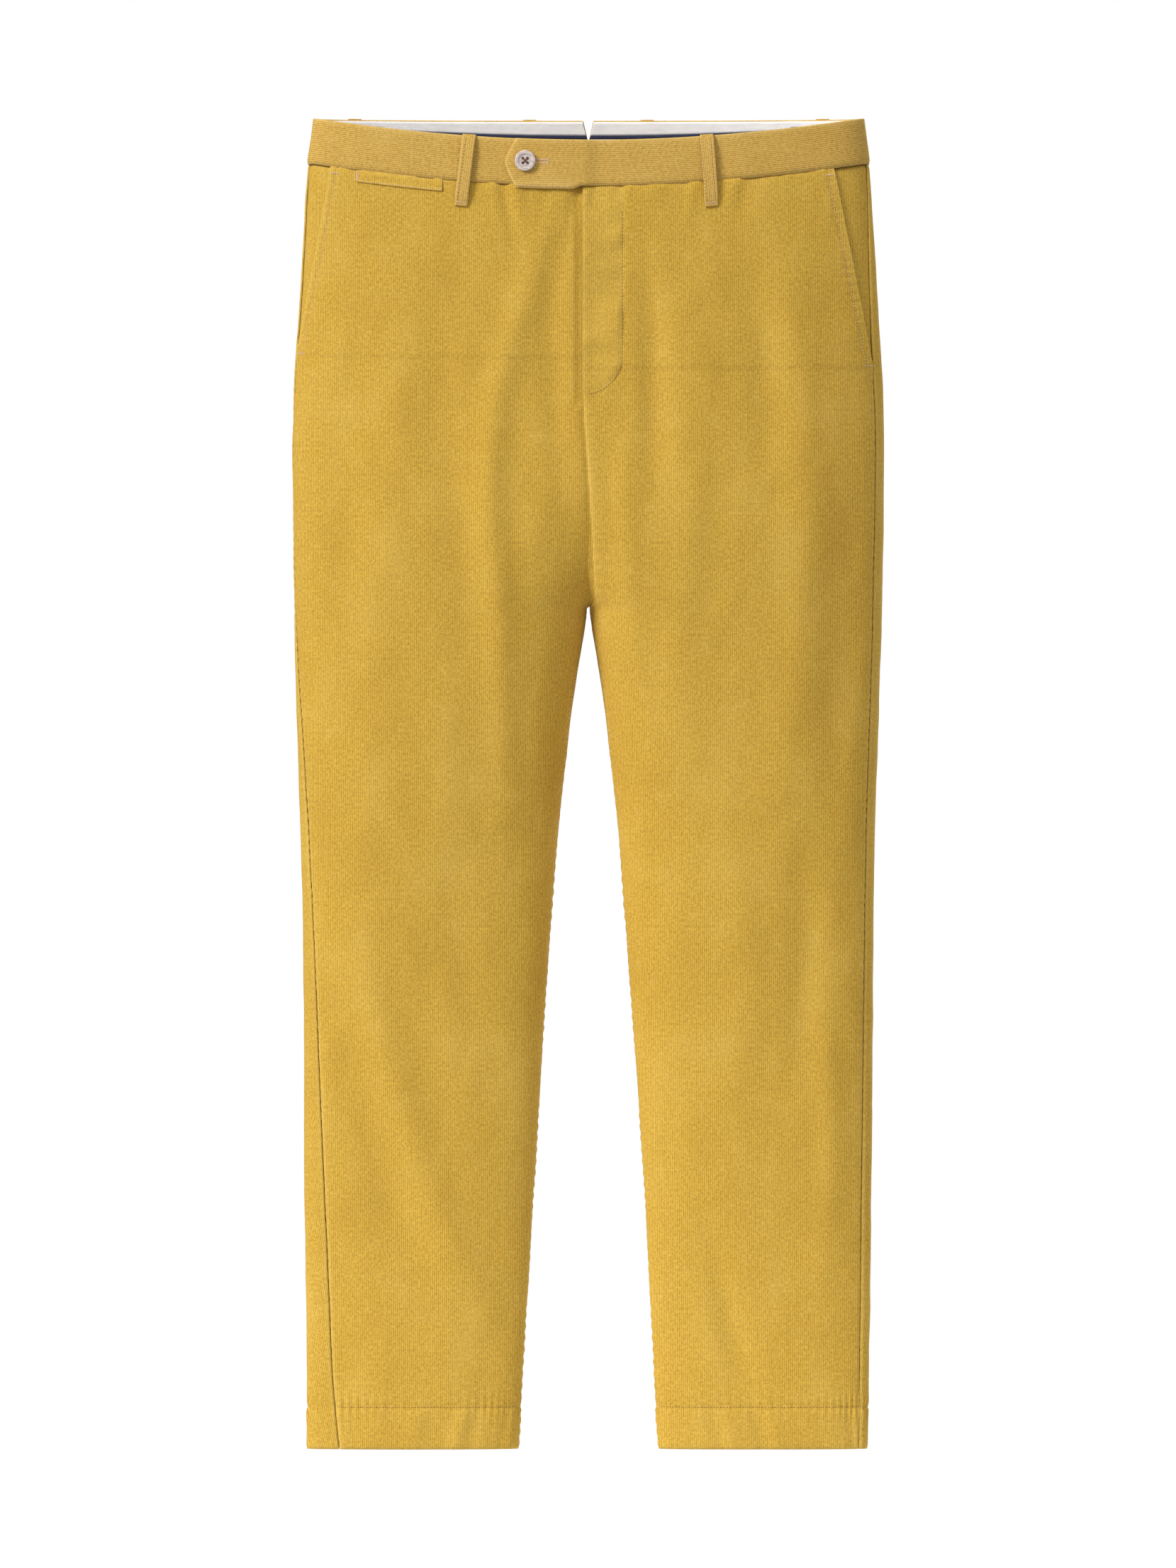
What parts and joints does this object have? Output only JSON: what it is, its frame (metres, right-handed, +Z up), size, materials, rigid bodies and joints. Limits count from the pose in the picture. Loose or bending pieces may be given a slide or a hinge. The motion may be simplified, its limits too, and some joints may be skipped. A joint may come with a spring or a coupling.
{
  "type": "corduroy trousers",
  "caption": "Flat-front fine-wale corduroy trousers with a buttoned tab waistband, zip fly, belt loops, slash pockets, a coin pocket, welted back pockets and plain hems.",
  "frame": {"origin": "middle of the waist opening, level with the waistband's top edge at the sides and back", "axes": "+Z up along the hanging garment, -Y the wearer's front, +X the wearer's left; the legs hang straight down"},
  "size_m": [0.4771, 0.1159, 1.0696],
  "materials": {
    "corduroy": "matt needlecord, wales down the leg",
    "corduroy_waistband": "matt needlecord, wales around the waist",
    "corduroy_trim": "matt needlecord strips",
    "corduroy_hem": "matt needlecord, turned up",
    "cotton_lining": "plain white cotton",
    "navy_piping": "navy cotton tape",
    "pocketing": "plain cotton twill",
    "button_horn": "pale four-hole buttons with a raised rim",
    "brown_thread": "button thread",
    "tan_thread": "tacks and buttonhole stitching",
    "zip_tape": "woven tape",
    "zip_brass": "brass"
  },
  "bodies": {
    "trousers": {"back_panel_left_upper": "corduroy", "back_panel_right_upper": "corduroy", "back_pocket_bag_left": "pocketing", "back_pocket_bag_right": "pocketing", "back_pocket_welt_left": "corduroy", "back_pocket_welt_right": "corduroy", "bar_tacks_back": "tan_thread", "bar_tacks_front": "tan_thread", "belt_loop_back_left": "corduroy_trim", "belt_loop_back_right": "corduroy_trim", "belt_loop_front_left": "corduroy_trim", "belt_loop_front_right": "corduroy_trim", "belt_loop_side_left": "corduroy_trim", "belt_loop_side_right": "corduroy_trim", "coin_pocket_bag": "pocketing", "coin_pocket_welt": "corduroy", "fly_facing": "corduroy", "fly_shield": "corduroy", "front_panel_left_upper": "corduroy", "front_panel_right_upper": "corduroy", "side_pocket_bag_left": "pocketing", "side_pocket_bag_right": "pocketing", "side_pocket_facing_left": "corduroy", "side_pocket_facing_right": "corduroy", "waist_buttonhole": "tan_thread", "waist_curtain_left": "cotton_lining", "waist_curtain_right": "cotton_lining", "waistband_left": "corduroy_waistband", "waistband_lining_left": "cotton_lining", "waistband_lining_right": "cotton_lining", "waistband_piping_left": "navy_piping", "waistband_piping_right": "navy_piping", "waistband_right": "corduroy_waistband", "zip_bottom_stop": "zip_brass", "zip_tape_left": "zip_tape", "zip_tape_right": "zip_tape", "zip_teeth_left": "zip_brass", "zip_teeth_right": "zip_brass"},
    "zip_slider": {"zip_slider": "zip_brass"},
    "zip_pull": {"zip_pull": "zip_brass"},
    "waist_button": {"waist_button": "button_horn", "waist_button_thread": "brown_thread"},
    "pocket_button_left": {"back_pocket_button_left": "button_horn", "back_pocket_thread_left": "brown_thread"},
    "pocket_button_right": {"back_pocket_button_right": "button_horn", "back_pocket_thread_right": "brown_thread"},
    "lower_leg_left": {"front_panel_left_lower": "corduroy", "back_panel_left_lower": "corduroy", "hem_turnup_left": "corduroy_hem"},
    "lower_leg_right": {"front_panel_right_lower": "corduroy", "back_panel_right_lower": "corduroy", "hem_turnup_right": "corduroy_hem"}
  },
  "joints": [
    {"name": "zip_slide", "type": "slide", "parent": "trousers", "child": "zip_slider", "axis": [0, -0.0468, -0.9989], "range_m": [0, 0.125], "deforming": ["zip_teeth_left", "zip_teeth_right"]},
    {"name": "zip_pull_swing", "type": "hinge", "parent": "zip_slider", "child": "zip_pull", "pos_m": [0.008, -0.03341, -0.07966], "axis": [1, 0, 0], "range_deg": [-4, 4]},
    {"name": "waist_button_turn", "type": "hinge", "parent": "trousers", "child": "waist_button", "pos_m": [-0.05069, -0.0386, -0.03531], "axis": [0, -1, 0], "range_deg": [-25, 25]},
    {"name": "pocket_button_left_turn", "type": "hinge", "parent": "trousers", "child": "pocket_button_left", "pos_m": [0.12418, 0.04587, -0.11278], "axis": [0.1104, 0.984, 0.1396], "range_deg": [-25, 25]},
    {"name": "pocket_button_right_turn", "type": "hinge", "parent": "trousers", "child": "pocket_button_right", "pos_m": [-0.12418, 0.04587, -0.11278], "axis": [-0.1104, 0.984, 0.1396], "range_deg": [-25, 25]},
    {"name": "left_leg_fold", "type": "hinge", "parent": "trousers", "child": "lower_leg_left", "pos_m": [0.131, 0.0365, -0.69], "axis": [1, 0, 0], "range_deg": [0, 135]},
    {"name": "right_leg_fold", "type": "hinge", "parent": "trousers", "child": "lower_leg_right", "pos_m": [-0.131, 0.0365, -0.69], "axis": [1, 0, 0], "range_deg": [0, 135]}
  ]
}
